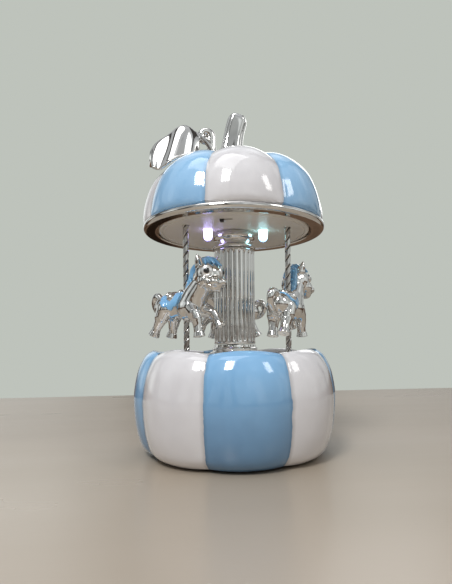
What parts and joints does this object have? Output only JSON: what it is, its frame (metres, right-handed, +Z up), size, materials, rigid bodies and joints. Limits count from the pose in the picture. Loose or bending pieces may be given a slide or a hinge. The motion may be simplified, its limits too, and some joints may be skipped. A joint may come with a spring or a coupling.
{
  "type": "wind-up music box",
  "caption": "Pumpkin-shaped wind-up music box whose canopy, column and riding ponies turn as a small carousel above a lobed base.",
  "frame": {"origin": "on the table under the middle of the base, at the level of the feet's undersides", "axes": "+Z up along the carousel's axis; -Y towards the front, where a blue lobe of the base faces; +X to the right seen from the front"},
  "size_m": [0.112, 0.112, 0.1891],
  "materials": {
    "white_glaze": "gloss, alternate lobes painted pale blue",
    "plated": "bright plating",
    "pale_blue": "gloss enamel",
    "cream_plastic": "satin",
    "steel": "satin",
    "brass": "satin",
    "rubber": "matte",
    "black_plastic": "matte",
    "board_green": "solder mask",
    "lamp_lens": "clear epoxy"
  },
  "bodies": {
    "base": {"base_shell": "white_glaze", "bottom_cover": "black_plastic", "foot_1": "rubber", "foot_2": "rubber", "foot_3": "rubber", "cover_screw_1": "steel", "cover_screw_2": "steel", "bedplate": "steel", "bed_screw_1": "steel", "bed_screw_2": "steel", "comb": "steel", "comb_screw_1": "brass", "comb_screw_2": "brass", "governor_bracket": "steel", "wave_track": "cream_plastic", "click_spring": "steel"},
    "winder": {"winding_key": "steel", "winding_arbor": "steel", "ratchet_wheel": "brass"},
    "click": {"click_pawl": "steel"},
    "carousel": {"spring_barrel": "brass", "barrel_lid": "brass", "mainspring": "steel", "turntable": "cream_plastic", "column_plinth": "plated", "column_shaft": "plated", "column_capital": "plated", "spindle": "steel", "spindle_nut": "steel", "ceiling_disc": "cream_plastic", "lamp_board": "board_green", "lamp_1": "lamp_lens", "lamp_2": "lamp_lens", "lamp_3": "lamp_lens", "cell_holder": "black_plastic", "coin_cell": "steel", "switch_housing": "steel", "canopy_rim": "plated", "canopy_shell": "white_glaze", "stem": "plated", "leaf": "plated", "tendril": "plated"},
    "cylinder": {"cylinder_arbor": "steel", "pinned_cylinder": "brass", "cylinder_wheel": "brass"},
    "idler": {"idler_wheel": "brass"},
    "governor": {"governor": "steel"},
    "pony_1": {"pony_1": "plated", "saddle_1": "pale_blue", "mane_1": "pale_blue", "pole_1": "steel"},
    "pony_2": {"pony_2": "plated", "saddle_2": "pale_blue", "mane_2": "pale_blue", "pole_2": "steel"},
    "pony_3": {"pony_3": "plated", "saddle_3": "pale_blue", "mane_3": "pale_blue", "pole_3": "steel"},
    "switch_lever": {"switch_lever": "black_plastic"}
  },
  "joints": [
    {"name": "carousel_spin", "type": "hinge", "parent": "base", "child": "carousel", "pos_m": [0, 0, 0.0535], "axis": [0, 0, 1], "continuous": true},
    {"name": "key_wind", "type": "hinge", "parent": "base", "child": "winder", "pos_m": [0, 0, 0.01], "axis": [0, 0, 1], "continuous": true},
    {"name": "click_pivot", "type": "hinge", "parent": "base", "child": "click", "pos_m": [-0.015, 0.012, 0.018], "axis": [0, 0, 1], "range_deg": [0, 6], "stiffness_Nm_per_rad": 0.001, "springref_deg": -11.46},
    {"name": "cylinder_spin", "type": "hinge", "parent": "base", "child": "cylinder", "pos_m": [0.0248, 0, 0.0248], "axis": [1, 0, 0], "continuous": true},
    {"name": "idler_spin", "type": "hinge", "parent": "base", "child": "idler", "pos_m": [0.036, 0.008, 0.0248], "axis": [1, 0, 0], "continuous": true},
    {"name": "governor_spin", "type": "hinge", "parent": "base", "child": "governor", "pos_m": [0.0396, 0.0145, 0.025], "axis": [0, 0, 1], "continuous": true},
    {"name": "pony_1_lift", "type": "slide", "parent": "carousel", "child": "pony_1", "axis": [0, 0, 1], "range_m": [0, 0.004]},
    {"name": "pony_2_lift", "type": "slide", "parent": "carousel", "child": "pony_2", "axis": [0, 0, 1], "range_m": [0, 0.004]},
    {"name": "pony_3_lift", "type": "slide", "parent": "carousel", "child": "pony_3", "axis": [0, 0, 1], "range_m": [0, 0.004]},
    {"name": "switch_slide", "type": "slide", "parent": "carousel", "child": "switch_lever", "axis": [0.9703, -0.2419, 0], "range_m": [0, 0.004]}
  ],
  "couplings": [
    {"joint": "cylinder_spin", "follows": "carousel_spin", "ratio": 4},
    {"joint": "idler_spin", "follows": "carousel_spin", "ratio": -12},
    {"joint": "governor_spin", "follows": "carousel_spin", "ratio": 240}
  ]
}
